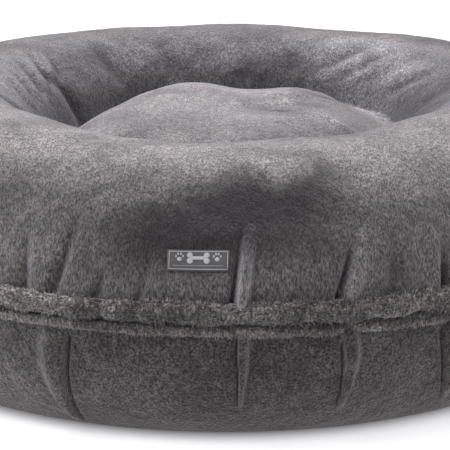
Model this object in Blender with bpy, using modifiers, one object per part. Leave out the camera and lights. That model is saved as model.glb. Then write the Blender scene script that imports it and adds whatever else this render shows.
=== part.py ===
"""A round pet cushion bed: a zip-off plush cover over a filled ring bolster and a filled centre pad.

Metres, +Z up. The origin is the centre of the underside. The front, with the label, faces -Y.
Angles round the bed are in degrees from +X, so the back is at 90.
"""

import math

import bmesh
import bpy
from mathutils import Matrix

# The bed
SEAM_RADIUS = 0.500  # the bolster's outer side, where the zip runs
SEAM_HEIGHT = 0.136  # the dark line between the flap and the welt
BOLSTER_WIDTH = 0.292
BOLSTER_RISE = 0.149  # from the seam up to the crest
BASE_TUCK = 0.070  # how far the underside's edge sits inside the seam
BASE_HEM = 0.012  # the lower cover turned flat under the bed, round the base panel
PAD_TOP = 0.247  # the middle of the padded hollow
VALLEY_ANGLE = 153.0  # on the bolster's section, where its inner wall meets the centre

# Cloth
COVER_THICKNESS = 0.006
COVER_CUFF = 0.004  # the upright edge of each cover at the seam
BASE_THICKNESS = 0.003
LINER_THICKNESS = 0.0015

# Clearances
TOUCH = 0.0003  # between pieces that are sewn or laid together
LINER_SEAM = 0.002  # between the two halves of a liner, which a seam joins
LINER_FIT = 0.003  # between a filled liner and what holds it
FILL_FIT = 0.001  # between the filling and its liner
SLIDER_RUN = 0.0006  # between the slider and what it runs past
PIN_RUN = 0.0004  # round the slider's crossbar

# Zip
ZIP_MARGIN = 0.0035  # between the slider and the seam line
ZIP_INSET = 0.010  # the zip's tapes inside the seam radius
ZIP_GAP_ANGLE = 24.0  # the sewn stretch at the back, between the zip's ends
TAPE_THICKNESS = 0.001
TAPE_WIDTH = 0.009
COIL_THICKNESS = 0.003
COIL_WIDTH = 0.003
COIL_SLOT = 0.0014  # between the two rows, for the slider's web
STOP_LENGTH = 0.004

# Slider and pull
SLIDER_LENGTH = 0.012
SLIDER_HEIGHT = 0.010
PLATE_THICKNESS = 0.0016
WEB_THICKNESS = 0.0008
CROSSBAR_RADIUS = 0.0007
EAR_THICKNESS = 0.0009
PULL_LENGTH = 0.028
PULL_WIDTH = 0.0052
PULL_THICKNESS = 0.0016
PULL_WALL = 0.0007  # round the eye

# Flap and welt
FLAP_WINDOW_ANGLE = 48.0  # where the flap stops short, round the zip's ends
FLAP_THICKNESS = 0.0078
FLAP_HOOK = 0.004
FLAP_ROOM = 0.0018  # between the hook and the slider
WELT_HEIGHT = 0.0085
WELT_PROUD = 0.0067

# Label
LABEL_LENGTH = 0.058
LABEL_HEIGHT = 0.020
LABEL_THICKNESS = 0.0012
LABEL_RISE = 0.0575  # its middle above the seam line
LABEL_ANGLE = -93.0

# Facets
SEGMENTS = 60
INNER_SEGMENTS = 30  # of the cushions inside the cover
ARC_STEP = 360.0 / SEGMENTS
COVER_STEPS = 10
LOWER_STEPS = 5
LINER_STEPS = 6

# What follows from the sizes above
BOLSTER_HALF = BOLSTER_WIDTH / 2
BOLSTER_CENTRE = SEAM_RADIUS - BOLSTER_HALF
BASE_RADIUS = SEAM_RADIUS - BASE_TUCK
ZIP_LEVEL = SEAM_HEIGHT + ZIP_MARGIN + SLIDER_HEIGHT / 2
ZIP_RADIUS = SEAM_RADIUS - ZIP_INSET
COIL_OUTER = ZIP_RADIUS + COIL_THICKNESS / 2
COIL_INNER = ZIP_RADIUS - COIL_THICKNESS / 2
TAPE_OUTER = ZIP_RADIUS + TAPE_THICKNESS / 2
TAPE_START = COIL_SLOT / 2 + COIL_WIDTH + TOUCH  # from the zip's middle line
FACET_SAG = SEAM_RADIUS * (1 - math.cos(math.pi / SEGMENTS))
OUTER_PLATE = COIL_OUTER + SLIDER_RUN
INNER_PLATE = COIL_INNER - SLIDER_RUN - FACET_SAG / 2
PIN_RADIUS = OUTER_PLATE + PLATE_THICKNESS + SLIDER_RUN + CROSSBAR_RADIUS + PIN_RUN + PULL_WALL
EYE_RADIUS = CROSSBAR_RADIUS + PIN_RUN + PULL_WALL
CHANNEL_OUTER = math.hypot(PIN_RADIUS + EYE_RADIUS, PULL_LENGTH) + SLIDER_RUN + FACET_SAG
LINER_OUTER = INNER_PLATE - PLATE_THICKNESS - SLIDER_RUN
LINER_INNER = SEAM_RADIUS - BOLSTER_WIDTH + COVER_THICKNESS + LINER_FIT
FLAP_BOTTOM = SEAM_HEIGHT + TOUCH
FLAP_TOP = ZIP_LEVEL + SLIDER_HEIGHT / 2 + FLAP_ROOM + FLAP_HOOK
WELT_BOTTOM = SEAM_HEIGHT - WELT_HEIGHT
HALF_ZIP_GAP = ZIP_GAP_ANGLE / 2
HALF_WINDOW = FLAP_WINDOW_ANGLE / 2
BACK = 90.0
TAU = 2 * math.pi


# Tools

def new_collection(name):
    made = bpy.data.collections.new(name)
    bpy.context.scene.collection.children.link(made)
    return made


def material(name, colour, roughness, metallic=0.0):
    made = bpy.data.materials.new(name)
    made.use_nodes = True
    shader = made.node_tree.nodes["Principled BSDF"]
    shader.inputs["Base Color"].default_value = (*colour, 1.0)
    shader.inputs["Roughness"].default_value = roughness
    shader.inputs["Metallic"].default_value = metallic
    return made


def place(name, data, finish, where=None):
    made = bpy.data.objects.new(name, data)
    data.materials.clear()
    data.materials.append(finish)
    (where or PARTS).objects.link(made)
    return made


def mesh_from(name, bm):
    bmesh.ops.recalc_face_normals(bm, faces=bm.faces)
    mesh = bpy.data.meshes.new(name)
    bm.to_mesh(mesh)
    bm.free()
    return mesh


def profile_mesh(name, points, closed):
    """The edges of a profile, given as (radius, height) points."""
    bm = bmesh.new()
    verts = [bm.verts.new((radius, 0, height)) for radius, height in points]
    for first, second in zip(verts, verts[1:]):
        bm.edges.new((first, second))
    if closed:
        bm.edges.new((verts[-1], verts[0]))
    mesh = bpy.data.meshes.new(name)
    bm.to_mesh(mesh)
    bm.free()
    return mesh


def turned(name, points, finish, closed=False, segments=SEGMENTS):
    """A full turn of a profile, which runs down its outer side."""
    made = place(name, profile_mesh(name, points, closed), finish)
    screw = made.modifiers.new("turn", "SCREW")
    screw.steps = screw.render_steps = segments
    screw.use_merge_vertices = True
    screw.merge_threshold = 0.00001
    screw.use_smooth_shade = True
    return made


def turned_shell(name, points, thickness, finish, segments=SEGMENTS):
    """A full turn of an open profile, thickened inwards."""
    made = turned(name, points, finish, segments=segments)
    shell = made.modifiers.new("cloth", "SOLIDIFY")
    shell.thickness = thickness
    shell.offset = -1
    shell.use_even_offset = True
    return made


def swept_arc(name, points, start, sweep, finish):
    """A closed section, as (radius, height) points, swept from one angle through another."""
    bm = bmesh.new()
    verts = [bm.verts.new((radius, 0, height)) for radius, height in points]
    bm.faces.new(verts)
    bmesh.ops.rotate(bm, verts=bm.verts, matrix=Matrix.Rotation(math.radians(start), 3, "Z"))
    geom = bm.verts[:] + bm.edges[:] + bm.faces[:]
    steps = round(sweep / ARC_STEP)
    bmesh.ops.spin(bm, geom=geom, axis=(0, 0, 1), angle=math.radians(sweep), steps=steps)
    return place(name, mesh_from(name, bm), finish)


def box_mesh(name, low, high):
    bm = bmesh.new()
    bmesh.ops.create_cube(bm, size=1)
    size = [b - a for a, b in zip(low, high)]
    middle = [(a + b) / 2 for a, b in zip(low, high)]
    bmesh.ops.scale(bm, vec=size, verts=bm.verts)
    bmesh.ops.translate(bm, vec=middle, verts=bm.verts)
    return mesh_from(name, bm)


def rectangle(inner, outer, bottom, top):
    return [(inner, top), (outer, top), (outer, bottom), (inner, bottom)]


def oval(centre, level, half_width, half_height, steps):
    """A closed oval section, running down its outer side."""
    turns = [TAU * i / steps for i in range(steps)]
    return [(centre + half_width * math.cos(a), level - half_height * math.sin(a)) for a in turns]


def rounded(x):
    """The height of a full cushion's skin, as a share of its middle's, at a share of its radius."""
    return (1 - x**3) ** (1 / 3)


def even_turns(first, last, steps):
    return [math.radians(first + (last - first) * i / steps) for i in range(steps + 1)]


# Sections

def bolster_point(turn, rise=BOLSTER_RISE, half=BOLSTER_HALF, centre=BOLSTER_CENTRE, drop=SEAM_HEIGHT):
    """A point on the bolster's oval section: 0 is its outer side, 90 degrees its crest."""
    up = math.sin(turn)
    reach = rise if up > 0 else drop
    return centre + half * math.cos(turn), SEAM_HEIGHT + reach * up


def centre_panel_profile():
    """From the middle of the padded hollow out and down to the seam in the valley."""
    radius, height = bolster_point(math.radians(VALLEY_ANGLE))
    drop = PAD_TOP - height
    shares = [0.0, 0.4, 0.65, 0.85, 1.0]
    return [((radius - TOUCH) * x, PAD_TOP - drop * x**4) for x in shares]


def upper_cover_profile():
    """From the seam in the valley up the inner wall, over the crest and down the outer side."""
    edge = FLAP_TOP + TOUCH
    cuff = math.degrees(math.asin((edge + COVER_CUFF - SEAM_HEIGHT) / BOLSTER_RISE))
    turns = even_turns(VALLEY_ANGLE, cuff, COVER_STEPS)
    ring = [bolster_point(turn) for turn in turns]
    return ring + [(ring[-1][0], edge)]


def lower_cover_profile():
    """From under the welt, out and down to the floor, and in along the hem."""
    edge = WELT_BOTTOM - TOUCH
    cuff = math.degrees(math.asin((SEAM_HEIGHT - edge + COVER_CUFF) / SEAM_HEIGHT))
    turns = even_turns(cuff, 90, LOWER_STEPS)
    side = [
        (BASE_RADIUS + BASE_TUCK * math.cos(turn), SEAM_HEIGHT * (1 - math.sin(turn)))
        for turn in turns
    ]
    return [(side[0][0], edge)] + side + [(BASE_RADIUS - BASE_HEM, 0.0)]


def bolster_section(inset, first, last, steps):
    """The filled ring's section, a given depth inside its liner's outer face."""
    half = (LINER_OUTER - LINER_INNER) / 2 - inset
    centre = (LINER_OUTER + LINER_INNER) / 2
    rise = BOLSTER_RISE - COVER_THICKNESS - LINER_FIT - inset
    drop = SEAM_HEIGHT - BASE_THICKNESS - LINER_FIT - inset
    return [bolster_point(turn, rise, half, centre, drop) for turn in even_turns(first, last, steps)]


PAD_RADIUS = LINER_INNER - LINER_FIT
PAD_LOW = BASE_THICKNESS + LINER_FIT
PAD_HIGH = PAD_TOP - COVER_THICKNESS - LINER_FIT
PAD_MIDDLE = (PAD_LOW + PAD_HIGH) / 2
PAD_SHARES = [0.0, 0.5, 0.75, 0.9, 0.97, 1.0]


def pad_section(inset, up):
    """Half of the centre pad's section, from its middle out to its edge."""
    half = (PAD_HIGH - PAD_LOW) / 2 - inset
    side = 1 if up else -1
    radius = PAD_RADIUS - inset
    return [(radius * x, PAD_MIDDLE + side * half * rounded(x)) for x in PAD_SHARES]


def flap_section():
    """A soft folded edge: a hook that is sewn in above the zip and hangs in front of it."""
    inner = CHANNEL_OUTER
    outer = inner + FLAP_THICKNESS
    root = TAPE_OUTER + LINER_FIT
    soft = FLAP_THICKNESS / 3
    middle = (FLAP_TOP + FLAP_BOTTOM) / 2
    return [
        (root, FLAP_TOP),
        (outer - 2 * soft, FLAP_TOP),
        (outer - soft / 2, FLAP_TOP - soft),
        (outer, middle),
        (outer - soft / 2, FLAP_BOTTOM + soft),
        (outer - 1.5 * soft, FLAP_BOTTOM),
        (inner + soft / 2, FLAP_BOTTOM),
        (inner, FLAP_BOTTOM + soft / 2),
        (inner, FLAP_TOP - FLAP_HOOK),
        (root, FLAP_TOP - FLAP_HOOK),
    ]


# Cover

def make_cover():
    turned_shell("upper_cover", upper_cover_profile(), COVER_THICKNESS, PLUSH)
    turned_shell("centre_panel", centre_panel_profile(), COVER_THICKNESS, PLUSH)
    turned_shell("lower_cover", lower_cover_profile(), COVER_THICKNESS, PLUSH)
    bm = bmesh.new()
    radius = BASE_RADIUS - BASE_HEM - TOUCH
    bmesh.ops.create_cone(
        bm, cap_ends=True, segments=SEGMENTS, radius1=radius, radius2=radius, depth=BASE_THICKNESS
    )
    base = place("base_panel", mesh_from("base_panel", bm), NONSLIP)
    base.location.z = BASE_THICKNESS / 2


def make_flap_and_welt():
    start = BACK + HALF_WINDOW
    swept_arc("zip_flap", flap_section(), start, 360 - FLAP_WINDOW_ANGLE, PLUSH)
    inner = TAPE_OUTER + LINER_FIT / 2
    outer = SEAM_RADIUS + WELT_PROUD
    half_height = (WELT_HEIGHT - TOUCH) / 2
    middle = SEAM_HEIGHT - TOUCH / 2 - half_height
    section = oval((inner + outer) / 2, middle, (outer - inner) / 2, half_height, 6)
    turned("lower_welt", section, PLUSH, closed=True)


def make_label():
    """A flat woven label on the bolster's front, square to its skin."""
    turn = math.asin(LABEL_RISE / BOLSTER_RISE)
    radius, height = bolster_point(turn)
    tilt = math.atan2(math.sin(turn) / BOLSTER_RISE, math.cos(turn) / BOLSTER_HALF)
    low = (TOUCH, -LABEL_LENGTH / 2, -LABEL_HEIGHT / 2)
    high = (TOUCH + LABEL_THICKNESS, LABEL_LENGTH / 2, LABEL_HEIGHT / 2)
    label = place("front_label", box_mesh("front_label", low, high), LABEL)
    around = math.radians(LABEL_ANGLE)
    label.location = (radius * math.cos(around), radius * math.sin(around), height)
    label.rotation_euler = (0, -tilt, around)


# Zip

def make_zip():
    start = BACK + HALF_ZIP_GAP
    sweep = 360 - ZIP_GAP_ANGLE
    stop_angle = math.degrees((STOP_LENGTH + TOUCH) / ZIP_RADIUS)
    tape_inner = ZIP_RADIUS - TAPE_THICKNESS / 2
    for side, name in ((1, "upper"), (-1, "lower")):
        edges = sorted(ZIP_LEVEL + side * x for x in (TAPE_START, TAPE_START + TAPE_WIDTH))
        swept_arc(f"zip_tape_{name}", rectangle(tape_inner, TAPE_OUTER, *edges), start, sweep, TAPE)
        edges = sorted(ZIP_LEVEL + side * x for x in (COIL_SLOT / 2, COIL_SLOT / 2 + COIL_WIDTH))
        coil = rectangle(COIL_INNER, COIL_OUTER, *edges)
        swept_arc(f"zip_coil_{name}", coil, start + stop_angle, sweep - 2 * stop_angle, COIL)
    half = COIL_SLOT / 2 + COIL_WIDTH
    for angle, name in ((start, "zip_top_stop"), (start + sweep - stop_angle, "zip_bottom_stop")):
        low = (COIL_INNER, TOUCH, -half)
        high = (COIL_OUTER, STOP_LENGTH, half)
        stop = place(name, box_mesh(name, low, high), METAL)
        stop.location.z = ZIP_LEVEL
        stop.rotation_euler.z = math.radians(angle)


def make_back_seam():
    """The sewn stretch that closes the cover between the zip's two ends."""
    half = TAPE_START + TAPE_WIDTH
    gap_angle = math.degrees(TOUCH / ZIP_RADIUS) * 2
    top = ZIP_LEVEL + half
    cover_face = bolster_point(math.asin((top - SEAM_HEIGHT) / BOLSTER_RISE))[0] - COVER_THICKNESS
    section = rectangle(COIL_INNER, cover_face - FACET_SAG - TOUCH, ZIP_LEVEL - half, top)
    start = BACK - HALF_ZIP_GAP + gap_angle
    swept_arc("back_seam_strip", section, start, ZIP_GAP_ANGLE - 2 * gap_angle, PLUSH)


def united(made, mesh, name):
    """Joins a second mesh to an object with a Boolean union."""
    other = place(name, mesh, METAL, HELPERS)
    other.hide_render = True
    other.display_type = "WIRE"
    other.parent = made
    union = made.modifiers.new(name, "BOOLEAN")
    union.operation = "UNION"
    union.object = other


def crossbar_mesh():
    bm = bmesh.new()
    bmesh.ops.create_cone(
        bm,
        cap_ends=True,
        segments=12,
        radius1=CROSSBAR_RADIUS,
        radius2=CROSSBAR_RADIUS,
        depth=PULL_WIDTH + 2 * SLIDER_RUN + EAR_THICKNESS,
    )
    bmesh.ops.translate(bm, vec=(PIN_RADIUS, 0, 0), verts=bm.verts)
    return mesh_from("crossbar", bm)


def make_slider():
    """Two plates and a web that runs between the coils, with two ears and a crossbar."""
    half_length = SLIDER_LENGTH / 2
    half_height = SLIDER_HEIGHT / 2
    bite = PLATE_THICKNESS / 2
    plate_face = OUTER_PLATE + PLATE_THICKNESS
    mesh = box_mesh(
        "zip_slider", (OUTER_PLATE, -half_length, -half_height), (plate_face, half_length, half_height)
    )
    slider = place("zip_slider", mesh, METAL)
    back_face = INNER_PLATE - PLATE_THICKNESS
    low = (back_face, -half_length, -half_height)
    high = (INNER_PLATE, half_length, half_height)
    united(slider, box_mesh("back_plate", low, high), "back_plate")
    low = (INNER_PLATE - bite, -half_length / 2, -WEB_THICKNESS / 2)
    high = (OUTER_PLATE + bite, half_length / 2, WEB_THICKNESS / 2)
    united(slider, box_mesh("web", low, high), "web")
    ear_start = PULL_WIDTH / 2 + SLIDER_RUN
    for side, name in ((1, "ear_upper"), (-1, "ear_lower")):
        edges = sorted(side * z for z in (ear_start, ear_start + EAR_THICKNESS))
        low = (plate_face - bite, -EYE_RADIUS, edges[0])
        high = (PIN_RADIUS + EYE_RADIUS, EYE_RADIUS, edges[1])
        united(slider, box_mesh(name, low, high), name)
    united(slider, crossbar_mesh(), "crossbar")
    slider.location.z = ZIP_LEVEL
    end_room = math.degrees((STOP_LENGTH + SLIDER_LENGTH / 2 + SLIDER_RUN) / ZIP_RADIUS)
    slider.rotation_euler.z = math.radians(BACK + HALF_ZIP_GAP + end_room)
    return slider


def pull_outline():
    """The pull's section from above: an eye round the crossbar and a flat tongue towards -Y."""
    half = PULL_THICKNESS / 2
    root = math.asin(half / EYE_RADIUS)
    turns = [-math.pi / 2 + root + (TAU - 2 * root) * i / 20 for i in range(21)]
    eye = [(EYE_RADIUS * math.cos(a), EYE_RADIUS * math.sin(a)) for a in turns]
    end = [-math.pi * i / 6 for i in range(7)]
    length = PULL_LENGTH - half
    tip = [(-half * math.cos(a), -length + half * math.sin(a)) for a in end]
    return eye + tip


def make_pull(slider):
    curve = bpy.data.curves.new("zip_pull", "CURVE")
    curve.dimensions = "2D"
    curve.fill_mode = "BOTH"
    curve.extrude = PULL_WIDTH / 2
    hole = CROSSBAR_RADIUS + PIN_RUN
    ring = [(hole * math.cos(TAU * i / 16), hole * math.sin(TAU * i / 16)) for i in range(16)]
    for points in (pull_outline(), ring):
        spline = curve.splines.new("POLY")
        spline.points.add(len(points) - 1)
        for point, (x, y) in zip(spline.points, points):
            point.co = (x, y, 0, 1)
        spline.use_cyclic_u = True
    pull = place("zip_pull", curve, METAL)
    pull.parent = slider
    pull.location.x = PIN_RADIUS


# Inner cushions

def make_bolster():
    seam = math.degrees(LINER_SEAM / BOLSTER_RISE)
    top = bolster_section(0, 180 - seam, seam, LINER_STEPS)
    bottom = bolster_section(0, -seam, seam - 180, LINER_STEPS)
    turned_shell("bolster_liner_top", top, LINER_THICKNESS, COTTON, INNER_SEGMENTS)
    turned_shell("bolster_liner_bottom", bottom, LINER_THICKNESS, COTTON, INNER_SEGMENTS)
    inset = LINER_THICKNESS + FILL_FIT
    loop = bolster_section(inset, 180, -180, 2 * LINER_STEPS)[:-1]
    turned("bolster_filling", loop, FIBRE, closed=True, segments=INNER_SEGMENTS)


def make_pad():
    top = pad_section(0, up=True)
    bottom = pad_section(0, up=False)
    edge = top[-1][0]
    top[-1] = (edge, PAD_MIDDLE + LINER_SEAM / 2)
    bottom[-1] = (edge, PAD_MIDDLE - LINER_SEAM / 2)
    turned_shell("pad_liner_top", top, LINER_THICKNESS, COTTON, INNER_SEGMENTS)
    turned_shell("pad_liner_bottom", bottom[::-1], LINER_THICKNESS, COTTON, INNER_SEGMENTS)
    inset = LINER_THICKNESS + FILL_FIT
    over = pad_section(inset, up=True)
    under = pad_section(inset, up=False)[::-1]
    turned("pad_filling", over + under[1:], FIBRE, segments=INNER_SEGMENTS)


for leftover in list(bpy.data.objects):
    bpy.data.objects.remove(leftover)

PARTS = new_collection("pet_cushion_bed")
HELPERS = new_collection("helpers")
HELPERS.hide_render = True

PLUSH = material("grey plush", (0.155, 0.148, 0.150), 0.95)
NONSLIP = material("non-slip underside", (0.045, 0.045, 0.048), 0.85)
TAPE = material("zip tape", (0.085, 0.083, 0.086), 0.8)
COIL = material("zip coil", (0.075, 0.073, 0.076), 0.4)
METAL = material("dark nickel", (0.36, 0.35, 0.35), 0.35, 1.0)
LABEL = material("label weave", (0.105, 0.103, 0.108), 0.7)
COTTON = material("cotton liner", (0.72, 0.70, 0.66), 0.9)
FIBRE = material("fibre filling", (0.86, 0.86, 0.85), 0.95)

make_cover()
make_flap_and_welt()
make_label()
make_zip()
make_back_seam()
make_pull(make_slider())
make_bolster()
make_pad()
bpy.context.view_layer.update()
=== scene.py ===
import math

import bpy
import numpy as np
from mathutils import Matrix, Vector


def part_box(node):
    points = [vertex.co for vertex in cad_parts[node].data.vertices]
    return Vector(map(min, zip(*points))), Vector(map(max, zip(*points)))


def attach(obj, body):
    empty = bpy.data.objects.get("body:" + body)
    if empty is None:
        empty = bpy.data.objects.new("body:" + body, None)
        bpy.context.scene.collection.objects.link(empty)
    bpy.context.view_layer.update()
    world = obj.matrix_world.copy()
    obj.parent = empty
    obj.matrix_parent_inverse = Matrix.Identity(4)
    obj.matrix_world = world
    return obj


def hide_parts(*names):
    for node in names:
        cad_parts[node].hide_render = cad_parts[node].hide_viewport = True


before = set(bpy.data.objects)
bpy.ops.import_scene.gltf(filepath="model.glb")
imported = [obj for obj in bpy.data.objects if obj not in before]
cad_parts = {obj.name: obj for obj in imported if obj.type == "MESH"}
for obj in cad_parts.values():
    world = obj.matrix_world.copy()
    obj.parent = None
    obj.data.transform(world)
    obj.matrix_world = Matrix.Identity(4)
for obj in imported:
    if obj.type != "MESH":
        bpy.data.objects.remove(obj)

"""The looks of a round plush pet bed, built round its CAD model.

Metres, +Z up, the front faces -Y. Angles round the bed are in degrees from the front, positive
towards +X, so the back is at 180. On the bolster's section a turn of 0 is its outer side, 90 its
crest, and VALLEY_TURN the crease where its inner wall meets the centre cushion.
"""

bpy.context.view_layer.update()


def low(node):
    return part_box(node)[0]


def high(node):
    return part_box(node)[1]


# Sizes taken from the CAD pieces
SEAM = (low("zip_flap").z + high("lower_welt").z) / 2
CREST = high("upper_cover").z
OUTER = high("lower_cover").x
FLAP_TOP = high("zip_flap").z
FLAP_OUT = high("zip_flap").x
WELT_LOW = low("lower_welt").z
WELT_OUT = high("lower_welt").x
BASE_EDGE = high("base_panel").x
PAD_TOP = high("centre_panel").z
TAPE_OUT = high("zip_tape_upper").x
VALLEY_RADIUS = high("centre_panel").x

HEM = 0.012  # the side panel's hem under the bed
CLOTH = 0.006  # the plush and its backing
FLAP_THICK = 0.0078
VALLEY_TURN = 153.0
HALF = (OUTER - VALLEY_RADIUS) / (1 - math.cos(math.radians(VALLEY_TURN)))
RING = OUTER - HALF
RISE = CREST - SEAM
BASE_RADIUS = BASE_EDGE + HEM

COLUMNS = 720


# Small tools

def wave(x, middle, width):
    """A bell of height 1."""
    return np.exp(-(((x - middle) / width) ** 2))


def step(x, first, last):
    """A smooth change from 0 to 1."""
    share = np.clip((x - first) / (last - first), 0, 1)
    return share * share * (3 - 2 * share)


def round_trip(angle, middle):
    """The signed difference between two directions, in degrees."""
    return (angle - middle + 180) % 360 - 180


def bell_at(angle, middle, width):
    """A bell of height 1 round a direction."""
    return wave(round_trip(angle, middle), 0, width)


def soft_max(a, b, blend):
    """The greater of two heights, rounded over where they meet."""
    return (a + b + np.sqrt((a - b) ** 2 + blend**2)) / 2


NOISE_TABLE = 4096


def noise(points, size, seed):
    """Smooth noise from -1 to 1 whose lumps are about the given size."""
    cells = points / size
    corner = np.floor(cells).astype(np.int64)
    part = cells - corner
    part = part * part * (3 - 2 * part)
    table = np.random.default_rng(seed).uniform(-1, 1, NOISE_TABLE)
    total = np.zeros(points.shape[:-1])
    for side in np.ndindex(2, 2, 2):
        at = corner + side
        index = (at[..., 0] * 73856093 ^ at[..., 1] * 19349663 ^ at[..., 2] * 83492791) % NOISE_TABLE
        total += np.prod(np.where(side, part, 1 - part), axis=-1) * table[index]
    return total


def lumps(points, *layers):
    """Layers of noise added up, each with its depth, size and seed."""
    return sum(depth * noise(points, size, seed) for depth, size, seed in layers)


def around(radius, angle, height):
    """Points from radii, angles from the front and heights."""
    radius, turn, height = np.broadcast_arrays(radius, np.radians(angle), height)
    return np.stack([radius * np.sin(turn), -radius * np.cos(turn), height], axis=-1)


def normals_of(points):
    """Normals of a grid, rows by columns round the bed. They point outwards where rows run upwards."""
    across = np.roll(points, -1, axis=1) - np.roll(points, 1, axis=1)
    along = np.gradient(points, axis=0)
    normal = np.cross(across, along)
    return normal / np.maximum(np.linalg.norm(normal, axis=-1, keepdims=True), 1e-12)


def column_angles(count):
    """Directions round the bed from -180 to 180, twice as close together over the gathered front."""
    angle = np.linspace(-180, 180, 3601)
    density = 1 + 1.7 * np.exp(-((angle / 36) ** 4))
    share = np.concatenate([[0], np.cumsum((density[1:] + density[:-1]) / 2)])
    return np.interp(np.arange(count) / count, share / share[-1], angle)[None, :]


def mesh_of(name, points, faces):
    mesh = bpy.data.meshes.new(name)
    mesh.from_pydata(points.reshape(-1, 3).tolist(), [], faces)
    mesh.shade_smooth()
    made = bpy.data.objects.new(name, mesh)
    bpy.context.scene.collection.objects.link(made)
    return made


def ring_faces(rows, columns, closed_rows):
    """Quads of a grid whose columns close round the bed."""
    row = np.arange(rows if closed_rows else rows - 1)[:, None]
    column = np.arange(columns)[None, :]
    after = (row + 1) % rows
    beside = (column + 1) % columns
    near, far = row * columns, after * columns
    quad = [near + column, near + beside, far + beside, far + column]
    return np.stack(np.broadcast_arrays(*quad), axis=-1).reshape(-1, 4)


def tube(name, points):
    """A closed ring: a section that closes, carried all the way round."""
    rows, columns = points.shape[:2]
    return mesh_of(name, points, ring_faces(rows, columns, True).tolist())


def globe(name, points, first_pole, last_pole):
    """A closed body from pole to pole through its rows. Rows that run down need their columns reversed."""
    rows, columns = points.shape[:2]
    faces = ring_faces(rows, columns, False).tolist()
    first = rows * columns
    last = first + 1
    end = (rows - 1) * columns
    for column in range(columns):
        beside = (column + 1) % columns
        faces.append((first, beside, column))
        faces.append((last, end + column, end + beside))
    everything = np.concatenate([points.reshape(-1, 3), [first_pole, last_pole]])
    return mesh_of(name, everything, faces)


def bar_faces(rows, columns):
    """Faces of a closed section carried along an arc, with its two ends."""
    faces = ring_faces(rows, columns, False).tolist()
    faces.append(tuple(reversed(range(columns))))
    faces.append(tuple(range((rows - 1) * columns, rows * columns)))
    return faces


def bar(name, points):
    """A closed section carried along part of a ring, with flat ends. Columns are the section's points."""
    return mesh_of(name, points, bar_faces(*points.shape[:2]))


def mark_painted_shading(piece, painted_shading):
    """Keeps each point's painted light for its finish: painted shade below 0, in folds and round tuft roots,
    and a painted highlight above 0, on fold edges and tuft tips.
    """
    kept = piece.data.attributes.new("fold", "FLOAT", "POINT")
    kept.data.foreach_set("value", painted_shading.astype(np.float32))


def dress(piece, finish, body="bed"):
    piece.data.materials.clear()
    piece.data.materials.append(finish)
    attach(piece, body)
    return piece


# The bolster's shape

def seam_shift(angle):
    """How far the seam strays from level, as sewn."""
    sway = -0.0028 * np.tanh(2.4 * np.sin(np.radians(angle)))
    return sway * (1 - step(np.abs(angle), 45, 80))


# Rises and dips of the bolster's crest: direction, width, and height as a share of its rise
CREST_BUMPS = [
    (-7, 6, -0.018),
    (-45, 14, 0.012),
    (-153, 6, 0.008),
    (-163, 5, -0.006),
    (136, 7, 0.009),
    (168, 9, 0.007),
    (150, 8, -0.006),
]


def rise_at(angle):
    """The height of the bolster's crest over the seam, lower in front where it has settled."""
    share = 0.990 - 0.072 * np.exp(-((round_trip(angle, 1) / 37) ** 6))
    for middle, width, height in CREST_BUMPS:
        share = share + height * bell_at(angle, middle, width)
    return RISE * share


def ring_height(turn, angle):
    return SEAM + seam_shift(angle) * np.cos(turn) ** 2 + rise_at(angle) * np.sin(turn)


def pillow_height(angle, radius):
    """The centre cushion's top, a full dome whose edge drops into the valley."""
    x = radius * np.sin(np.radians(angle))
    y = -radius * np.cos(np.radians(angle))
    edge = VALLEY_RADIUS * (0.985 - 0.10 * bell_at(angle, -115, 38))
    edge = edge * (1 - 0.05 * bell_at(angle, 55, 22) - 0.06 * bell_at(angle, -30, 18))
    share = np.clip(radius / edge, 0, 1)
    dome = np.sqrt(1 - share**4.2)
    top = PAD_TOP - 0.006 + 0.010 * wave(x, -0.05, 0.07) * wave(y, 0.09, 0.10)
    top = top - 0.032 * wave(x, 0.022, 0.028) * wave(y, 0.195, 0.055)
    top = top + 0.005 * wave(x, 0.095, 0.035) * wave(y, 0.13, 0.08)
    top = top - 0.014 * step(x, 0.12, 0.20) - 0.006 * step(-x, 0.08, 0.18)
    foot = SEAM + 0.030
    return foot + (top - foot) * dome


def valley_blend(angle):
    """How softly the wall runs into the centre: a sharp crease, except at the back right."""
    soft = 0.034 * bell_at(angle, 120, 40) + 0.020 * bell_at(angle, 12, 24)
    return 0.006 + soft + 0.012 * bell_at(angle, -62, 16)


def groove(angle, turn, radius, line, depth, width, lip=1.0, fades=(True, True)):
    """The height change of a crease with a soft lip on one side.

    Its line runs from one (angle, turn) to another, and fades says whether each end fades out.
    """
    (angle0, turn0), (angle1, turn1) = line
    share = (turn - turn0) / (turn1 - turn0)
    path = angle0 + (angle1 - angle0) * share
    slope = math.radians(angle1 - angle0) * 0.35 / (math.radians(turn1 - turn0) * HALF)
    aside = np.radians(round_trip(angle, path)) * radius / math.hypot(1, slope)
    strength = step(share, 0, 0.75) if fades[0] else step(share, -0.3, 0)
    strength = strength * ((1 - step(share, 0.65, 1)) if fades[1] else (1 - step(share, 1, 1.3)))
    ridge = wave(aside, math.copysign(2.3 * width, lip), 1.7 * width)
    return depth * strength * (0.55 * abs(lip) * ridge - wave(aside, 0, width))


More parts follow.
